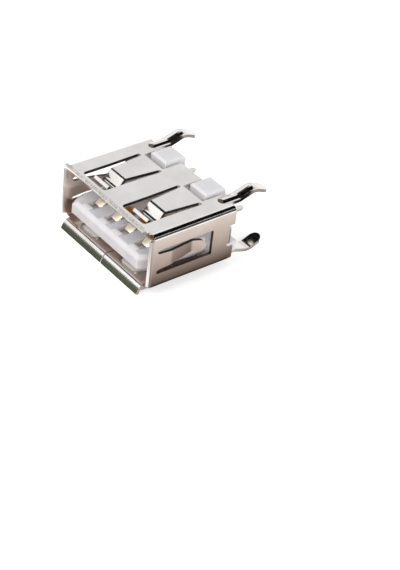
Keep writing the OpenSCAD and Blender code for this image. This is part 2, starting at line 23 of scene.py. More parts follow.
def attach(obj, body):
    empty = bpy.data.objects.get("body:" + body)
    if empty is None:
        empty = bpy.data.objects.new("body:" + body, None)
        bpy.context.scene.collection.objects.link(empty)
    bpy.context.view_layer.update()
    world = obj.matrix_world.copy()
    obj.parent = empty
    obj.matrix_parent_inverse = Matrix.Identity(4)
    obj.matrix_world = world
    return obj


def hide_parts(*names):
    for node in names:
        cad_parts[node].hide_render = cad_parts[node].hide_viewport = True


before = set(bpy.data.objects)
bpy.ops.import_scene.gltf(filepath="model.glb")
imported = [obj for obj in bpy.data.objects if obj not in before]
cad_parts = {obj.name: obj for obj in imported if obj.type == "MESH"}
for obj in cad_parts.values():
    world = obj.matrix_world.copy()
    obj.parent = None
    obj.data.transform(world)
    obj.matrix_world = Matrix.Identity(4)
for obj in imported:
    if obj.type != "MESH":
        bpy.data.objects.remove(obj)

LOG = logging.getLogger("usb_socket")
MM = 0.001
# Middle of the mouth, in the plane of the tube's front edge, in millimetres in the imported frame.
MOUTH = np.array([0.0, -6.305, 3.507])
# Blender numbers the colour sockets of a Mix node: its two inputs and its output.
MIX_A, MIX_B, MIX_OUT = 6, 7, 2
# Corners of a CAD node that are closer than this are one, and faces that differ by less than the
# flat angle lie in one plane.
MERGE_MM, FLAT_DEG = 0.0005, 0.5
# Edges that turn by less than the smooth angle are bends; those that turn by more than the sharp
# angle are broken, with this many strips.
SMOOTH_DEG, SHARP_DEG, EDGE_STRIPS = 25.0, 28.0, 2
# How strongly large faces pull the normals of a broken edge to themselves, of 100.
FACE_WEIGHT = 80


class Slot(Enum):
    """Material slots of the record."""

    SHELL = "plated_steel"
    INSULATOR = "insulator"
    CONTACT = "contact_metal"


class Face(Enum):
    """Kinds of faces of the shell, by the index of their material."""

    OUTSIDE = 0
    INSIDE = 1
    SHEARED = 2
    HIGHLIT_EDGE = 3
    HIGHLIT_SPRING = 4
    SHADED_EDGE = 5


def linear(hex_code: str) -> tuple[float, float, float, float]:
    """Turns an sRGB hex colour into linear RGBA.

    Args:
        hex_code: six hex digits with a leading sign, such as "#DDD9D6".

    Returns:
        Red, green, blue and alpha, where each sRGB value c becomes ((c + 0.055) / 1.055) ** 2.4,
        or c / 12.92 near black.
    """
    srgb = np.array([int(hex_code[i:i + 2], 16) for i in (1, 3, 5)]) / 255.0
    rgb = np.where(srgb <= 0.04045, srgb / 12.92, ((srgb + 0.055) / 1.055) ** 2.4)
    return (float(rgb[0]), float(rgb[1]), float(rgb[2]), 1.0)


def add_node(tree: bpy.types.NodeTree, kind: str, inputs: dict[str | int, Any] | None = None,
             **settings: Any) -> bpy.types.Node:
    """Adds one shader node, sets it and links it.

    Args:
        tree: node tree that gets the node.
        kind: Blender's name of the node type.
        inputs: input sockets by name or index; an output socket is linked, any other value is set.
        settings: attributes of the node.

    Returns:
        The new node.
    """
    node = tree.nodes.new(kind)
    for name, value in settings.items():
        setattr(node, name, value)
    for key, value in (inputs or {}).items():
        if isinstance(value, bpy.types.NodeSocket):
            tree.links.new(value, node.inputs[key])
        else:
            node.inputs[key].default_value = value
    return node


def new_material(name: str) -> tuple[bpy.types.Material, bpy.types.NodeTree]:
    """Makes an empty node material.

    Args:
        name: the finish's name.

    Returns:
        The material and its node tree.
    """
    material = bpy.data.materials.new(name)
    material.use_nodes = True
    material.node_tree.nodes.clear()
    return material, material.node_tree


def ramp_stops(node: bpy.types.Node, stops: Sequence[tuple[float, str]]) -> None:
    """Gives a colour ramp its stops.

    Args:
        node: the colour ramp.
        stops: position and sRGB hex colour of each stop, in order.
    """
    elements = node.color_ramp.elements
    while len(elements) > 1:
        elements.remove(elements[-1])
    for i, (position, hex_code) in enumerate(stops):
        stop = elements[0] if i == 0 else elements.new(position)
        stop.position = position
        stop.color = linear(hex_code)


def seen_rays(tree: bpy.types.NodeTree) -> bpy.types.NodeSocket:
    """Adds the test for rays that come from the camera, from a mirror or through clear matter.

    Args:
        tree: node tree that gets the test.

    Returns:
        A socket that is 1 for such a ray and 0 for any other.
    """
    ray = add_node(tree, "ShaderNodeLightPath").outputs
    seen = add_node(tree, "ShaderNodeMath", {0: ray["Is Camera Ray"], 1: ray["Is Glossy Ray"]},
                    operation="MAXIMUM")
    shown = add_node(tree, "ShaderNodeMath", {0: seen.outputs[0], 1: ray["Is Transmission Ray"]},
                     operation="MAXIMUM")
    return shown.outputs[0]


@dataclass(frozen=True)
class NickelPlate:
    """Bright nickel on cold-rolled steel sheet.

    The eye gets a warm grey mirror that is a little blurred, with faint rolling lines along the
    sheet and slow patches where the plate is thicker.
    """

    name: str = "bright_nickel_plate"
    light: str = "#F1EDEA"
    dull: str = "#E8E3DF"
    roughness: float = 0.13
    rolling_mm: float = 0.05
    patch_mm: float = 3.0
    patch_band: tuple[float, float] = (0.35, 0.65)
    patch_detail: float = 3.0
    patch_roughness: float = 0.55
    line_detail: float = 2.0
    line_stretch: float = 25.0
    line_depth_mm: float = 0.004
    line_strength: float = 0.06
    smoother: float = 0.04
    rougher: float = 0.05

    def material(self) -> bpy.types.Material:
        """Builds the plate's shader.

        Returns:
            The material, for one kind of face of the shell.
        """
        material, tree = new_material(self.name)
        place = add_node(tree, "ShaderNodeTexCoord").outputs["Object"]
        patch = add_node(tree, "ShaderNodeTexNoise", {
            "Vector": place, "Scale": 1.0 / (self.patch_mm * MM), "Detail": self.patch_detail,
            "Roughness": self.patch_roughness})
        tone = add_node(tree, "ShaderNodeValToRGB", {"Fac": patch.outputs["Fac"]})
        ramp_stops(tone, [(self.patch_band[0], self.dull), (self.patch_band[1], self.light)])
        # Real rolling lines are a few micrometres wide. They are drawn as coarse as they need to
        # be to show, and run along Y.
        stretched = add_node(tree, "ShaderNodeMapping", {
            "Vector": place, "Scale": (1.0, 1.0 / self.line_stretch, 1.0)})
        lines = add_node(tree, "ShaderNodeTexNoise", {
            "Vector": stretched.outputs["Vector"], "Scale": 1.0 / (self.rolling_mm * MM),
            "Detail": self.line_detail})
        rough = add_node(tree, "ShaderNodeMapRange", {
            "Value": lines.outputs["Fac"], "To Min": self.roughness - self.smoother,
            "To Max": self.roughness + self.rougher})
        bump = add_node(tree, "ShaderNodeBump", {
            "Height": lines.outputs["Fac"], "Strength": self.line_strength,
            "Distance": self.line_depth_mm * MM})
        shader = add_node(tree, "ShaderNodeBsdfPrincipled", {
            "Base Color": tone.outputs["Color"], "Metallic": 1.0,
            "Roughness": rough.outputs["Result"], "Normal": bump.outputs["Normal"]})
        add_node(tree, "ShaderNodeOutputMaterial", {"Surface": shader.outputs["BSDF"]})
        return material


@dataclass(frozen=True)
class NaturalNylon:
    """Natural nylon, moulded with no pigment.

    The eye gets a milky white that light goes into for about half a millimetre, greyer towards
    the rear where the moulding is thick, with a soft gloss from the polished tool. By height,
    painted shade greys the tongue's nose and its deck between the pads, and painted highlight
    whitens its slope and its pads.
    """

    milk: str = "#FBFAFC"
    cloud: str = "#F3F2F5"
    thick: str = "#E3E2E4"
    thin_y_mm: float = -4.5
    thick_y_mm: float = 0.5
    nose: str = "#E6E3E3"
    slope: str = "#F5F3F4"
    deck: str = "#E7E8EB"
    pad: str = "#FFFFFF"
    nose_z_mm: float = 3.08
    slope_z_mm: tuple[float, float] = (3.17, 3.33)
    deck_z_mm: tuple[float, float] = (3.342, 3.36)
    pad_z_mm: float = 3.41
    roughness: float = 0.24
    ior: float = 1.53
    depth_mm: float = 0.6
    cloud_mm: float = 1.6
    cloud_band: tuple[float, float] = (0.35, 0.65)
    cloud_detail: float = 2.0
    grain_mm: float = 0.06
    grain_detail: float = 1.0
    grain_depth_mm: float = 0.006
    grain_strength: float = 0.08

    def material(self) -> bpy.types.Material:
        """Builds the moulding's shader.

        Returns:
            The material, for the whole insulator.
        """
        material, tree = new_material("natural_nylon")
        place = add_node(tree, "ShaderNodeTexCoord").outputs["Object"]
        cloud = add_node(tree, "ShaderNodeTexNoise", {
            "Vector": place, "Scale": 1.0 / (self.cloud_mm * MM), "Detail": self.cloud_detail})
        tone = add_node(tree, "ShaderNodeValToRGB", {"Fac": cloud.outputs["Fac"]})
        ramp_stops(tone, [(self.cloud_band[0], self.cloud), (self.cloud_band[1], self.milk)])
        parts = add_node(tree, "ShaderNodeSeparateXYZ", {"Vector": place})
        # The tongue's nose, its slope, its deck and its pads follow each other in height.
        # The ramp by height paints shade on the nose and the deck and highlight on the slope and
        # pads.
        height = add_node(tree, "ShaderNodeMapRange", {
            "Value": parts.outputs["Z"], "From Min": self.nose_z_mm * MM,
            "From Max": self.pad_z_mm * MM})
        level = add_node(tree, "ShaderNodeValToRGB", {"Fac": height.outputs["Result"]})
        levels = ((self.nose_z_mm, self.nose), (self.slope_z_mm[0], self.slope),
                  (self.slope_z_mm[1], self.slope), (self.deck_z_mm[0], self.deck),
                  (self.deck_z_mm[1], self.deck), (self.pad_z_mm, self.pad))
        ramp_stops(level, [((z - self.nose_z_mm) / (self.pad_z_mm - self.nose_z_mm), colour)
                           for z, colour in levels])
        front = add_node(tree, "ShaderNodeMix", {
            "Factor": 1.0, MIX_A: level.outputs["Color"], MIX_B: tone.outputs["Color"]},
            data_type="RGBA", blend_type="MULTIPLY")
        share = add_node(tree, "ShaderNodeMapRange", {
            "Value": parts.outputs["Y"], "From Min": self.thin_y_mm * MM,
            "From Max": self.thick_y_mm * MM})
        body = add_node(tree, "ShaderNodeMix", {
            "Factor": share.outputs["Result"], MIX_A: front.outputs[MIX_OUT],
            MIX_B: linear(self.thick)}, data_type="RGBA")
        grain = add_node(tree, "ShaderNodeTexNoise", {
            "Vector": place, "Scale": 1.0 / (self.grain_mm * MM), "Detail": self.grain_detail})
        bump = add_node(tree, "ShaderNodeBump", {
            "Height": grain.outputs["Fac"], "Strength": self.grain_strength,
            "Distance": self.grain_depth_mm * MM})
        shader = add_node(tree, "ShaderNodeBsdfPrincipled", {
            "Base Color": body.outputs[MIX_OUT], "Roughness": self.roughness, "IOR": self.ior,
            "Subsurface Weight": 1.0, "Subsurface Radius": (1.0, 1.0, 1.0),
            "Subsurface Scale": self.depth_mm * MM, "Normal": bump.outputs["Normal"]})
        add_node(tree, "ShaderNodeOutputMaterial", {"Surface": shader.outputs["BSDF"]})
        return material


@dataclass(frozen=True)
class ContactPlate:
    """Copper alloy strip with gold flash on the crown and bright tin on the tail.

    The eye gets pale gold at the mouth, paled further as painted highlight, then a band of
    orange behind the crown that is painted shade for the warm light deep between the walls,
    and pale silver from there to the tail.
    """

    # The gold is paled towards white, partly as painted highlight on the crowns at the mouth.
    gold: str = "#FFF6E2"
    # Painted shade: the orange band behind the crown stands for the warm, shaded light deep between
    # the walls.
    shade_bronze: str = "#D9963F"
    tin: str = "#EDEAE4"
    gold_y_mm: float = -4.3
    tin_y_mm: float = -2.6
    change_l_mm: float = 0.35
    roughness: float = 0.3
    smoother: float = 0.05
    rougher: float = 0.08
    grain_mm: float = 0.08
    grain_detail: float = 2.0

    def material(self) -> bpy.types.Material:
        """Builds the contacts' shader.

        Returns:
            The material, for all contacts.
        """
        material, tree = new_material("gold_and_tin_plate")
        place = add_node(tree, "ShaderNodeTexCoord").outputs["Object"]
        parts = add_node(tree, "ShaderNodeSeparateXYZ", {"Vector": place})
        share = add_node(tree, "ShaderNodeMapRange", {
            "Value": parts.outputs["Y"], "From Min": self.gold_y_mm * MM,
            "From Max": self.tin_y_mm * MM})
        tone = add_node(tree, "ShaderNodeValToRGB", {"Fac": share.outputs["Result"]})
        change = self.change_l_mm / (self.tin_y_mm - self.gold_y_mm)
        ramp_stops(tone, [(0.0, self.gold), (change, self.shade_bronze), (1.0 - change, self.shade_bronze),
                          (1.0, self.tin)])
        grain = add_node(tree, "ShaderNodeTexNoise", {
            "Vector": place, "Scale": 1.0 / (self.grain_mm * MM), "Detail": self.grain_detail})
        rough = add_node(tree, "ShaderNodeMapRange", {
            "Value": grain.outputs["Fac"], "To Min": self.roughness - self.smoother,
            "To Max": self.roughness + self.rougher})
        shader = add_node(tree, "ShaderNodeBsdfPrincipled", {
            "Base Color": tone.outputs["Color"], "Metallic": 1.0,
            "Roughness": rough.outputs["Result"]})
        add_node(tree, "ShaderNodeOutputMaterial", {"Surface": shader.outputs["BSDF"]})
        return material


@dataclass(frozen=True)
class CardPaint:
    """Glowing paint on a studio card: a painted reflection that mirrors show in the tones that are
    written here.

    The tones run along X from the card's left edge; one stop gives a plain card.
    """

    name: str
    stops: tuple[tuple[float, str], ...]
    left_mm: float = 0.0
    fade_mm: float = 1.0

    def material(self) -> bpy.types.Material:
        """Builds the card's shader: a glow that needs no lamp.

        Returns:
            The material, for one card.
        """
        material, tree = new_material(self.name)
        glow = add_node(tree, "ShaderNodeEmission", {"Color": linear(self.stops[0][1])})
        if len(self.stops) > 1:
            place = add_node(tree, "ShaderNodeTexCoord").outputs["Object"]
            parts = add_node(tree, "ShaderNodeSeparateXYZ", {"Vector": place})
            share = add_node(tree, "ShaderNodeMapRange", {
                "Value": parts.outputs["X"], "From Min": self.left_mm * MM,
                "From Max": (self.left_mm + self.fade_mm) * MM})
            tone = add_node(tree, "ShaderNodeValToRGB", {"Fac": share.outputs["Result"]})
            ramp_stops(tone, self.stops)
            tree.links.new(tone.outputs["Color"], glow.inputs["Color"])
        add_node(tree, "ShaderNodeOutputMaterial", {"Surface": glow.outputs["Emission"]})
        return material


def add_object(name: str, data: bpy.types.ID) -> bpy.types.Object:
    """Makes an object and links it to the scene.

    Args:
        name: the object's name.
        data: its mesh, lamp or camera.

    Returns:
        The object, at the origin.
    """
    item = bpy.data.objects.new(name, data)
    bpy.context.scene.collection.objects.link(item)
    return item


def of_faces(mesh: bpy.types.Mesh, value: str) -> np.ndarray:
    """Reads a vector of every face.

    Args:
        mesh: the mesh.
        value: Blender's name of the vector, such as "center" or "normal".

    Returns:
        One row of x, y and z for each face.
    """
    rows = np.empty(len(mesh.polygons) * 3)
    mesh.polygons.foreach_get(value, rows)
    return rows.reshape(-1, 3)


def merged_copy(node: str, name: str) -> bpy.types.Object:
    """Copies a CAD node's mesh, merges its loose triangles and joins those that lie in one plane.

    Args:
        node: name of the CAD node.
        name: name of the new piece.

    Returns:
        The piece, with its sharp edges marked and its bends smooth.
    """
    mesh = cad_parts[node].data.copy()
    mesh.name = name
    mesh.materials.clear()
    work = bmesh.new()
    work.from_mesh(mesh)
    bmesh.ops.remove_doubles(work, verts=work.verts, dist=MERGE_MM * MM)
    bmesh.ops.dissolve_limit(work, angle_limit=math.radians(FLAT_DEG), verts=work.verts,
                             edges=work.edges)
    bend = math.radians(SMOOTH_DEG)
    for face in work.faces:
        face.smooth = True
    for edge in work.edges:
        edge.smooth = edge.is_manifold and edge.calc_face_angle(math.pi) < bend
    work.to_mesh(mesh)
    work.free()
    return add_object(name, mesh)


def break_edges(piece: bpy.types.Object, width_mm: float) -> None:
    """Rounds the sharp edges of a piece with a bevel.

    Args:
        piece: the piece.
        width_mm: width of the rounded edge.
    """
    bevel = piece.modifiers.new("broken_edges", "BEVEL")
    bevel.width = width_mm * MM
    bevel.segments = EDGE_STRIPS
    bevel.limit_method = "ANGLE"
    bevel.angle_limit = math.radians(SHARP_DEG)
    normals = piece.modifiers.new("flat_faces", "WEIGHTED_NORMAL")
    normals.keep_sharp = True
    normals.weight = FACE_WEIGHT


def grid_faces(index: np.ndarray) -> list[list[int]]:
    """Joins each four neighbours of a grid of vertices to a face.

    Args:
        index: numbers of the vertices, in rows and columns.

    Returns:
        The four numbers of each face.
    """
    corners = [index[:-1, :-1], index[:-1, 1:], index[1:, 1:], index[1:, :-1]]
    return np.stack(corners, axis=-1).reshape(-1, 4).tolist()


def tube(name: str, points: np.ndarray) -> bpy.types.Object:
    """Makes a closed piece from sections along a path.

    The grid's rows are stations along the path and its columns go once round the section. Each
    cell of four neighbours is a face, the columns close on themselves, and the two end rows become
    caps.

    Args:
        name: the piece's name.
        points: array of shape (stations, section points, 3), in metres.

    Returns:
        The piece, smooth and with its faces outwards.
    """
    rows, columns, _ = points.shape
    index = np.arange(rows * columns).reshape(rows, columns)
    faces = grid_faces(np.column_stack([index, index[:, 0]]))
    faces += [index[0, ::-1].tolist(), index[-1].tolist()]
    mesh = bpy.data.meshes.new(name)
    mesh.from_pydata(points.reshape(-1, 3).tolist(), [], faces)
    mesh.shade_smooth()
    work = bmesh.new()
    work.from_mesh(mesh)
    bmesh.ops.recalc_face_normals(work, faces=work.faces)
    work.to_mesh(mesh)
    work.free()
    return add_object(name, mesh)


def bent_path(s: np.ndarray, knots: np.ndarray,
              headings: Sequence[float]) -> tuple[np.ndarray, np.ndarray, np.ndarray]:
    """Follows a strip that bends in one plane.

    The heading changes evenly from knot to knot. The place is the running sum of each step times
    the cosine and the sine of the mean heading over the step.

    Args:
        s: distances along the strip, from 0.
        knots: distances where the bends start and end.
        headings: heading at each knot, in radians.

    Returns:
        The heading, the way ahead and the way aside at each distance.
    """
    heading = np.interp(s, knots, headings)
    step = np.diff(s, prepend=0.0)
    mean = np.concatenate([[0.0], (heading[1:] + heading[:-1]) / 2])
    return heading, np.cumsum(step * np.cos(mean)), np.cumsum(step * np.sin(mean))


@dataclass
class Shell:
    """The folded sheet-metal shell with its lips, springs, tabs and legs.

    The sizes say where each kind of face lies. Those that end in n are limits of the part of a
    face's normal that the finish depends on.
    """

    outside: NickelPlate = NickelPlate()
    # Less nickel reaches the inside of the tube, which stays warmer and duller; its plate is also
    # made warmer and darker as painted shade, for the shade and warm light between the walls. The
    # inner faces of the flares get it too.
    inside: NickelPlate = NickelPlate("thin_nickel_and_painted_shade", "#F0E1D6", "#E4D3C7", 0.2)
    # The torn edge of a lip scatters light and looks pale and speckled.
    sheared: NickelPlate = NickelPlate(
        "sheared_nickel_edge", "#FFFCF9", "#D2CAC4", 0.45, patch_mm=0.18)
    # Painted highlight: the flared front edges of the side walls and the rear ends of the upper
    # slits get a pale, duller copy of the plate that stands for the highlights they catch.
    edge_highlight: NickelPlate = NickelPlate("painted_highlight_edge", "#FDF9F6", "#F2ECE8", 0.38)
    # Painted highlight: the ends of the lower springs get a whiter satin copy of the plate that
    # stands for the bright reflection they show.
    spring_highlight: NickelPlate = NickelPlate("painted_highlight_spring", "#FFFDFB", "#FAF6F3", 0.6)
    # Painted shade: the edges of the slits and springs get a dark, dull copy of the plate that
    # stands for the shade in the slits, and so do the front ends of the legs' beads.
    edge_shade: NickelPlate = NickelPlate(
        "painted_shade_edge", "#6A6058", "#4C443D", 0.45, patch_mm=0.3)
    edge_mm: float = 0.045
    half_w: float = 6.25
    half_h: float = 2.55
    slack: float = 0.01
    mouth_y: float = -0.1
    length: float = 9.0
    inward_n: float = -0.1
    lip_front: float = -0.45
    lip_rise: float = 3.15
    lip_n: float = 0.8
    flare_x: float = 6.3
    flare_root_x: float = 6.2
    flare_y: float = 0.14
    flare_z: float = 2.3
    spring_end_y: float = 2.2
    spring_end_z: tuple[float, float] = (-2.54, -1.9)
    spring_end_n: float = 0.7
    slit_y: tuple[float, float] = (0.25, 7.4)
    slit_x: float = 5.9
    slit_n: float = 0.35
    slit_end_y: float = 4.0
    slit_end_n: float = -0.3
    upper_slit_z: float = 1.4
    side_slit_x: float = 5.6
    side_slit_z: float = 1.7

    def build(self) -> bpy.types.Object:
        """Makes the shell's mesh: the folded sheet with its sheared edges rounded a little.

        Returns:
            The shell as one piece.
        """
        piece = merged_copy("shell", "folded_shell")
        break_edges(piece, self.edge_mm)
        return piece

    def mark_faces(self, mesh: bpy.types.Mesh) -> None:
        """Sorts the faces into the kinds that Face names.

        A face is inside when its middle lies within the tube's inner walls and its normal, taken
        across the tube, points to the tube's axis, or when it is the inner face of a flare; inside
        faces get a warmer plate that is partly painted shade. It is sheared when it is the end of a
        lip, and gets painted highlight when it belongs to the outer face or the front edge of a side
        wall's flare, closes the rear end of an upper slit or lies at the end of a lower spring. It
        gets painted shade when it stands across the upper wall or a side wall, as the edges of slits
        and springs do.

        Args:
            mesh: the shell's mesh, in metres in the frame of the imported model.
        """
        x, y, z = (of_faces(mesh, "center") / MM - MOUTH).T
        n_x, n_y, n_z = of_faces(mesh, "normal").T
        out, rise = np.abs(x), np.abs(z)
        within = ((out < self.half_w + self.slack) & (rise < self.half_h + self.slack)
                  & (y > self.mouth_y) & (y < self.length))
        inside = within & (x * n_x + z * n_z < self.inward_n)
        lip_end = ((y < self.lip_front) & (rise > self.lip_rise) & (np.abs(n_z) > self.lip_n)
                   & (z * n_z > 0))
        front = (y < self.flare_y) & (rise < self.flare_z)
        flare = front & (out > self.flare_x) & (x * n_x > self.inward_n)
        inner_flare = front & (out > self.flare_root_x) & (x * n_x < self.inward_n)
        # Faces at the ends of the lower springs, which get painted highlight.
        spring_highlight = ((y < self.spring_end_y) & (z > self.spring_end_z[0]) & (z < self.spring_end_z[1])
                  & (n_z > self.spring_end_n))
        along = (y > self.slit_y[0]) & (y < self.slit_y[1])
        upper_slit = (along & (z > self.upper_slit_z) & (out < self.slit_x)
                      & (np.abs(n_z) < self.slit_n))
        side_slit = (along & (out > self.side_slit_x) & (rise < self.side_slit_z)
                     & (np.abs(n_x) < self.slit_n))
        slit_end = upper_slit & (y > self.slit_end_y) & (n_y < self.slit_end_n)
        # A face that fits more than one kind gets the first of them.
        kinds = {Face.SHEARED: lip_end, Face.HIGHLIT_EDGE: flare | slit_end, Face.HIGHLIT_SPRING: spring_highlight,
                 Face.SHADED_EDGE: upper_slit | side_slit, Face.INSIDE: inside | inner_flare}
        kind = np.select(list(kinds.values()), [face.value for face in kinds], Face.OUTSIDE.value)
        mesh.polygons.foreach_set("material_index", kind.astype(np.int32))

    def dress(self, piece: bpy.types.Object, plate: bpy.types.Material,
              edge_shade: bpy.types.Material) -> None:
        """Gives the shell its plates, in the order of Face, and its place in the frame.

        Args:
            piece: the shell's object.
            plate: the outside's material.
            edge_shade: the material of the edges with painted shade.
        """
        piece.data.materials.append(plate)
        for finish in (self.inside, self.sheared, self.edge_highlight, self.spring_highlight):
            piece.data.materials.append(finish.material())
        piece.data.materials.append(edge_shade)
        self.mark_faces(piece.data)
        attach(piece, "root")
        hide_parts("shell")


@dataclass
class LegBead:
    """The rounded bead that is stamped along a leg, over the flat rib of the solid."""

    name: str
    side: int
    row: int
    x: float = 5.1
    wall_z: float = 2.85
    start_y: float = 8.05
    root_y: float = 9.95
    slope_deg: float = 18.0
    fall_deg: float = 22.0
    root_r: float = 0.65
    crest_r: float = 1.55
    rise_run: float = 1.108
    half_w: float = 0.58
    height: float = 0.2
    sink: float = 0.03
    ramp_l: float = 0.33
    round_l: float = 0.5
    least_share: float = 0.0004
    shade_front_l: float = 0.3
    stations: int = 90
    section: int = 25

    def build(self) -> bpy.types.Object:
        """Carries a bell-shaped section along the leg's outer face.

        The course is the leg's own bent path. At both ends the height falls to nothing in
        proportion to the distance over the ramp's length, and the width by the square root of the
        distance over the rounding's length. The section's height is half of one plus the cosine of
        the place across, from the crown to the rim, and a flat base closes it a little below the
        face.

        Returns:
            The bead as one closed mesh.
        """
        slope, fall = math.radians(self.slope_deg), math.radians(self.fall_deg)
        lengths = [0.0, self.root_y - self.start_y, slope * self.root_r, self.rise_run,
                   (slope + fall / 2) * self.crest_r]
        knots = np.cumsum(lengths)
        s = np.linspace(0.0, knots[-1], self.stations)
        heading, ahead, aside = bent_path(s, knots, (0.0, 0.0, slope, slope, -fall / 2))
        ends = np.minimum(s, s[-1] - s)
        wide = np.sqrt(np.clip(ends / self.round_l, self.least_share, 1.0))
        high = np.clip(ends / self.ramp_l, self.least_share, 1.0)
        place = np.linspace(1.0, -1.0, self.section)
        across = np.concatenate([place, [-1.0, 1.0]]) * self.half_w
        bell = np.concatenate([(1 + np.cos(np.pi * place)) / 2 * self.height, [0.0, 0.0]])
        base = np.concatenate([np.zeros(self.section), [-self.sink, -self.sink]])
        lift = high[:, None] * bell + base
        points = np.stack([
            self.side * (self.x + wide[:, None] * across),
            (self.start_y + ahead)[:, None] - lift * np.sin(heading)[:, None],
            self.row * ((self.wall_z + aside)[:, None] + lift * np.cos(heading)[:, None])],
            axis=-1)
        return tube(self.name, (points + MOUTH) * MM)

    def dress(self, piece: bpy.types.Object, plate: bpy.types.Material,
              edge_shade: bpy.types.Material) -> None:
        """Gives the bead the shell's plate, painted shade at its front end, and its place.

        Args:
            piece: the bead's object.
            plate: the material of the shell's outside.
            edge_shade: the material of the shell's edges with painted shade.
        """
        piece.data.materials.append(plate)
        piece.data.materials.append(edge_shade)
        y = of_faces(piece.data, "center")[:, 1] / MM - MOUTH[1]
        # The bead's front end gets the painted shade of the slit edges.
        front = y < self.start_y + self.shade_front_l
        piece.data.polygons.foreach_set("material_index", front.astype(np.int32))
        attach(piece, "root")


@dataclass
class Insulator:
    """The moulded block with its tongue, lugs, standoffs and peg."""

    finish: NaturalNylon = NaturalNylon()
    edge_mm: float = 0.06

    def build(self) -> bpy.types.Object:
        """Makes the moulding's mesh with its edges rounded as a tool leaves them.

        Returns:
            The moulding as one piece.
        """
        piece = merged_copy("housing", "moulded_insulator")
        break_edges(piece, self.edge_mm)
        return piece

    def dress(self, piece: bpy.types.Object) -> None:
        """Gives the moulding its material and its place in the frame.

        Args:
            piece: the moulding's object.
        """
        piece.data.materials.append(self.finish.material())
        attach(piece, "root")
        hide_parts("housing")


@dataclass
class Contact:
    """One pressed-in contact: a strip with a tail, a straight beam, a crown and a dipping tip."""

    node: str
    x: float
    thick: float = 0.25
    beam_w: float = 1.0
    tail_w: float = 0.7
    tail_end: float = 12.45
    shoulder_y: float = 8.25
    beam_front: float = 4.4
    level: float = -0.105
    climb_deg: float = 4.0
    climb_r: float = 5.0
    climb_run: float = 1.4
    crown_r: float = 1.0
    dip_deg: float = 36.0
    tip_l: float = 0.55
    bevel: float = 0.18
    corner: float = 0.05
    # Stations stand this far from the tail's end, the shoulder and the tip, and this close to the
    # shoulder's step, to keep the faces next to them flat.
    guard: float = 0.02
    tip_guard: float = 0.03
    step: float = 0.001
    stations: int = 60
    section: int = 24

    def course(self) -> np.ndarray:
        """Follows the middle of the strip from the tail's end to the tip, by its bent path.

        Returns:
            Rows of distance, y, z and heading.
        """
        straight = self.tail_end - self.beam_front
        shoulder = self.tail_end - self.shoulder_y
        climb = math.radians(self.climb_deg)
        fall = math.radians(self.climb_deg + self.dip_deg)
        knots = np.cumsum([0.0, straight, climb * self.climb_r, self.climb_run,
                           fall * self.crown_r, self.tip_l])
        tail = [0.0, self.guard, 2 * self.bevel, shoulder - self.guard, shoulder - self.step,
                shoulder + self.step, shoulder + self.guard]
        beam = np.linspace(straight, knots[-1] - self.tip_guard, self.stations)
        s = np.concatenate([tail, beam, [knots[-1]]])
        heading, ahead, aside = bent_path(
            s, knots, (0.0, 0.0, climb, climb, climb - fall, climb - fall))
        return np.stack([s, self.tail_end - ahead, self.level + aside, heading], axis=1)

    def build(self) -> bpy.types.Object:
        """Sweeps a round-cornered strip section along the course.

        The half width goes from the bevelled tail to the wider beam at the shoulder; the section's
        corners are quarter circles, and the end sections are drawn in by the corner's radius.

        Returns:
            The contact as one closed mesh.
        """
        s, y, z, heading = self.course().T
        shoulder = self.tail_end - self.shoulder_y
        half = np.where(s < shoulder, self.tail_w / 2, self.beam_w / 2)
        half = half - self.bevel * np.clip(1 - s / (2 * self.bevel), 0, 1)
        at_end = np.minimum(s, s[-1] - s) < self.guard / 2
        inset = self.corner + np.where(at_end, self.corner, 0.0)
        angle = np.linspace(0, 2 * np.pi, self.section, endpoint=False) + np.pi / self.section
        cosine, sine = np.cos(angle), np.sin(angle)
        across = (half - inset)[:, None] * np.sign(cosine) + self.corner * cosine
        through = (self.thick / 2 - inset)[:, None] * np.sign(sine) + self.corner * sine
        points = np.stack([
            self.x + across,
            y[:, None] + through * np.sin(heading)[:, None],
            z[:, None] + through * np.cos(heading)[:, None]], axis=-1)
        return tube(self.node + "_strip", (points + MOUTH) * MM)

    def dress(self, piece: bpy.types.Object, plate: bpy.types.Material) -> None:
        """Gives the contact its plate and its place in the frame.

        Args:
            piece: the contact's object.
            plate: the contacts' material.
        """
        piece.data.materials.append(plate)
        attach(piece, "root")
        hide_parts(self.node)


# Cards on a sphere round the part: name, azimuths and elevations in degrees, tone.
CARDS = (
    ("soft_ceiling", (205, 246), (20, 44), "#EBEDEE"),
    ("overhead_flag", (238, 305), (44, 81), "#000000"),
    ("zenith_flag", (0, 360), (81, 90), "#000000"),
    ("high_right_flag", (60, 193), (64, 81), "#000000"),
    ("high_rear_card", (194, 237), (62, 81), "#B4B1AE"),
    ("front_card", (335, 430), (8, 44), "#BFC0C1"),
    ("rear_card", (173, 203), (8, 32), "#C6C5C4"),
    ("rear_right_flag", (90, 192), (34, 64), "#0A0A0A"),
    ("low_right_flag", (90, 172), (7, 30), "#35312F"),
)
# Sheets on the table that only mirrors see; the warm sheet and the strips are painted shade, the
# table beside the part darkened as the walls mirror it. Columns: name, least and greatest x and y,
# length of the fade, its stops.
SHEETS = (
    ("warm_sheet", (6.6, -12.0), (40.0, 30.0), 6.4,
     ((0.0, "#342B25"), (0.2, "#665950"), (0.5, "#BBAAA2"), (1.0, "#EFE4DD"))),
    ("dark_strip", (5.4, -5.7), (6.6, 3.0), 1.2, ((0.0, "#2E2621"), (1.0, "#342B25"))),
    ("lip_strip", (5.4, -8.0), (6.6, -5.7), 1.2, ((0.0, "#A3978D"), (1.0, "#C4B8AE"))),
    ("leg_strip", (5.7, 3.0), (6.6, 8.0), 0.9, ((0.0, "#857A6C"), (1.0, "#CFC8BE"))),
    ("green_sheet", (-30.0, -23.0), (4.6, -7.25), 18.0, ((0.0, "#565D4B"),)),
)
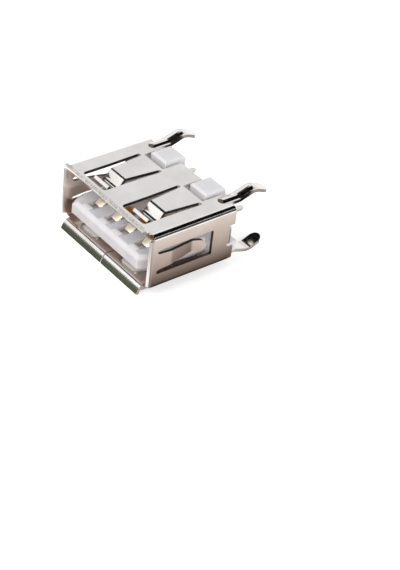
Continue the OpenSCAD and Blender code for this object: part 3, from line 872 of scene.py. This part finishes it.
# Upright screens that only mirrors see, painted reflections on the legs and the lip: name, x and y
# of both ends, heights of the lower and upper edge, tone.
SCREENS = (
    ("green_screen", (-30.0, -23.0), (-3.0, -23.0), (0.0, 6.2), "#565D4B"),
    ("right_leg_flag", (7.5, 4.6), (7.5, 6.6), (3.2, 6.2), "#1C1A19"),
    ("right_tip_flag", (7.5, 6.6), (7.5, 8.6), (3.2, 6.2), "#A19B97"),
    ("left_leg_flag", (-2.7, 4.6), (-2.7, 6.6), (3.2, 6.2), "#1C1A19"),
    ("left_tip_flag", (-2.7, 6.6), (-2.7, 8.6), (3.2, 6.2), "#A19B97"),
)
# Lamps: name, place in metres, watts, whether metal shows the lamp.
LAMPS = (
    ("key", (-0.068, -0.254, 0.2455), 0.85, True),
    ("fill", (0.33, -0.05, 0.12), 0.9, False),
    ("rear", (-0.12, 0.34, 0.06), 0.5, False),
)


@dataclass
class Studio:
    """White table, soft lamps, the cards that the metal mirrors, and the camera."""

    eye_mm: tuple[float, float, float] = (97.38, -75.57, 86.37)
    azimuth: float = 48.1608
    elevation: float = 36.6545
    roll: float = 6.8371
    lens_mm: float = 108.8
    sensor_mm: float = 36.0
    clip_m: tuple[float, float] = (0.001, 10.0)
    room: str = "#FFFFFF"
    room_light: float = 0.3
    paper: str = "#ECECEC"
    paper_lift: float = 0.5
    table_m: float = 1.2
    table_z_mm: float = -0.01
    under_x_mm: float = 5.4
    under_y_mm: tuple[float, float] = (-1.8, 4.4)
    card_r_m: float = 0.4
    card_grid: tuple[int, int] = (25, 13)
    sheet_z_mm: float = 0.02
    lamp_m: float = 0.3

    def camera(self) -> None:
        """Makes the camera at the photograph's place, by azimuth, elevation and roll."""
        a, e, r = map(math.radians, (self.azimuth, self.elevation, self.roll))
        back = np.array([math.sin(a) * math.cos(e), -math.cos(a) * math.cos(e), math.sin(e)])
        level = np.array([math.cos(a), math.sin(a), 0.0])
        upright = np.cross(back, level)
        right = math.cos(r) * level + math.sin(r) * upright
        up = math.cos(r) * upright - math.sin(r) * level
        data = bpy.data.cameras.new("camera")
        data.lens = self.lens_mm
        data.sensor_width = self.sensor_mm
        data.clip_start, data.clip_end = self.clip_m
        camera = add_object("camera", data)
        axes = np.column_stack([right, up, back, (MOUTH + self.eye_mm) * MM])
        camera.matrix_world = Matrix(np.vstack([axes, [0.0, 0.0, 0.0, 1.0]]).tolist())
        bpy.context.scene.camera = camera

    def world(self) -> None:
        """Makes the world white for the camera and for mirrors, and a soft light for all else."""
        world = bpy.data.worlds.new("white_room")
        bpy.context.scene.world = world
        world.use_nodes = True
        tree = world.node_tree
        tree.nodes.clear()
        strength = add_node(tree, "ShaderNodeMapRange", {
            "Value": seen_rays(tree), "To Min": self.room_light, "To Max": 1.0})
        light = add_node(tree, "ShaderNodeBackground", {
            "Color": linear(self.room), "Strength": strength.outputs["Result"]})
        add_node(tree, "ShaderNodeOutputWorld", {"Surface": light.outputs["Background"]})

    def table(self) -> None:
        """Makes the table: a flat sheet that takes shadow, lifted to white where it is seen."""
        half = self.table_m / 2
        corners = [(-half, -half, 0.0), (half, -half, 0.0), (half, half, 0.0), (-half, half, 0.0)]
        mesh = bpy.data.meshes.new("table")
        mesh.from_pydata(corners, [], [(0, 1, 2, 3)])
        top = add_object("table", mesh)
        top.location.z = self.table_z_mm * MM
        material, tree = new_material("white_card")
        paper = add_node(tree, "ShaderNodeBsdfDiffuse", {"Color": linear(self.paper)})
        # The lift stops under the part, so that its openings show the dark below it.
        place = add_node(tree, "ShaderNodeTexCoord").outputs["Object"]
        middle_y, half_l = self.under_y_mm
        under = add_node(tree, "ShaderNodeMapping", {
            "Vector": place, "Location": (0.0, -middle_y / half_l, 0.0),
            "Scale": (1.0 / (self.under_x_mm * MM), 1.0 / (half_l * MM), 1.0)})
        away = add_node(tree, "ShaderNodeVectorMath", {0: under.outputs["Vector"]},
                        operation="ABSOLUTE")
        sides = add_node(tree, "ShaderNodeSeparateXYZ", {"Vector": away.outputs["Vector"]})
        far = add_node(tree, "ShaderNodeMath", {0: sides.outputs["X"], 1: sides.outputs["Y"]},
                       operation="MAXIMUM")
        clear = add_node(tree, "ShaderNodeMath", {0: far.outputs[0], 1: 1.0},
                         operation="GREATER_THAN")
        strength = add_node(tree, "ShaderNodeMath", {0: clear.outputs[0], 1: self.paper_lift},
                            operation="MULTIPLY")
        lift = add_node(tree, "ShaderNodeEmission", {
            "Color": linear(self.room), "Strength": strength.outputs[0]})
        both = add_node(tree, "ShaderNodeAddShader", {0: paper.outputs[0], 1: lift.outputs[0]})
        mix = add_node(tree, "ShaderNodeMixShader", {
            "Fac": seen_rays(tree), 1: paper.outputs[0], 2: both.outputs[0]})
        add_node(tree, "ShaderNodeOutputMaterial", {"Surface": mix.outputs["Shader"]})
        mesh.materials.append(material)

    def hang(self, points: np.ndarray, paint: CardPaint) -> None:
        """Makes a card from a grid of points and hides it from all but mirrors.

        Args:
            points: array of shape (rows, columns, 3), in metres.
            paint: what the card is covered with, which also names it.
        """
        rows, columns, _ = points.shape
        index = np.arange(rows * columns).reshape(rows, columns)
        mesh = bpy.data.meshes.new(paint.name)
        mesh.from_pydata(points.reshape(-1, 3).tolist(), [], grid_faces(index))
        mesh.materials.append(paint.material())
        sheet = add_object(paint.name, mesh)
        sheet.visible_camera = False
        sheet.visible_diffuse = False
        sheet.visible_shadow = False
        sheet.visible_transmission = False
        sheet.visible_volume_scatter = False

    def card(self, name: str, azimuths: tuple[float, float], elevations: tuple[float, float],
             tone: str) -> None:
        """Hangs a card that is a patch of a sphere round the part.

        A point of the card is at the card's radius times (sin a cos e, -cos a cos e, sin e), where
        the azimuth a and the elevation e run over their two ranges.

        Args:
            name: the card's name.
            azimuths: first and last azimuth in degrees, 0 at the mouth's side and 90 to the right.
            elevations: lowest and highest elevation in degrees.
            tone: sRGB hex colour.
        """
        a, e = np.meshgrid(np.radians(np.linspace(*azimuths, self.card_grid[0])),
                           np.radians(np.linspace(*elevations, self.card_grid[1])))
        points = np.stack([np.sin(a) * np.cos(e), -np.cos(a) * np.cos(e), np.sin(e)], axis=-1)
        self.hang(self.card_r_m * points, CardPaint(name, ((0.0, tone),)))

    def screen(self, name: str, start_mm: tuple[float, float], end_mm: tuple[float, float],
               heights_mm: tuple[float, float], tone: str) -> None:
        """Stands an upright screen near the part.

        Args:
            name: the screen's name.
            start_mm: x and y of one end.
            end_mm: x and y of the other end.
            heights_mm: heights of its lower and upper edge.
            tone: sRGB hex colour.
        """
        foot = np.array([start_mm, end_mm])
        points = np.stack([np.column_stack([foot, np.full(2, height)]) for height in heights_mm])
        self.hang(points * MM, CardPaint(name, ((0.0, tone),)))

    def sheet(self, name: str, start_mm: tuple[float, float], end_mm: tuple[float, float],
              fade_mm: float, stops: tuple[tuple[float, str], ...]) -> None:
        """Lays a sheet on the table beside the part.

        Args:
            name: the sheet's name.
            start_mm: least x and y.
            end_mm: greatest x and y.
            fade_mm: distance from the sheet's left edge over which its tones run.
            stops: share of that distance and sRGB hex colour of each stop, in order.
        """
        x, y = np.meshgrid((start_mm[0], end_mm[0]), (start_mm[1], end_mm[1]))
        points = np.stack([x, y, np.full_like(x, self.sheet_z_mm)], axis=-1)
        self.hang(points * MM, CardPaint(name, stops, start_mm[0], fade_mm))

    def lamp(self, name: str, place: tuple[float, float, float], watts: float,
             mirrored: bool) -> None:
        """Hangs a square soft lamp that looks at the part.

        Args:
            name: the lamp's name.
            place: where it hangs, in metres.
            watts: its power.
            mirrored: whether metal shows the lamp.
        """
        data = bpy.data.lights.new(name, "AREA")
        data.shape = "SQUARE"
        data.size = self.lamp_m
        data.energy = watts
        lamp = add_object(name, data)
        lamp.visible_glossy = mirrored
        lamp.location = place
        lamp.rotation_euler = Vector(place).to_track_quat("Z", "Y").to_euler()

    def build(self) -> None:
        """Sets up the whole studio."""
        bpy.context.scene.view_settings.view_transform = "Standard"
        self.camera()
        self.world()
        self.table()
        for hang, rows in ((self.card, CARDS), (self.sheet, SHEETS), (self.screen, SCREENS),
                           (self.lamp, LAMPS)):
            for row in rows:
                hang(*row)


def report(piece: bpy.types.Object) -> None:
    """Reports a finished piece by its name and number of faces."""
    LOG.info("%s: %d faces", piece.name, len(piece.data.polygons))


def main() -> None:
    """Builds the socket and its studio, and reports each piece."""
    logging.basicConfig(level=logging.INFO, format="%(name)s: %(message)s")
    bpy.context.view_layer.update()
    Studio().build()
    shell = Shell()
    piece = shell.build()
    nickel, edge_shade = shell.outside.material(), shell.edge_shade.material()
    shell.dress(piece, nickel, edge_shade)
    report(piece)
    for name, side, row in (("upper_left_bead", -1, 1), ("upper_right_bead", 1, 1),
                            ("lower_left_bead", -1, -1), ("lower_right_bead", 1, -1)):
        bead = LegBead(name, side, row)
        piece = bead.build()
        bead.dress(piece, nickel, edge_shade)
        report(piece)
    insulator = Insulator()
    piece = insulator.build()
    insulator.dress(piece)
    report(piece)
    plate = ContactPlate().material()
    for node, x in (("contact_1", -3.5), ("contact_2", -1.0), ("contact_3", 1.0),
                    ("contact_4", 3.5)):
        contact = Contact(node, x)
        piece = contact.build()
        contact.dress(piece, plate)
        report(piece)


if __name__ == "__main__":
    main()
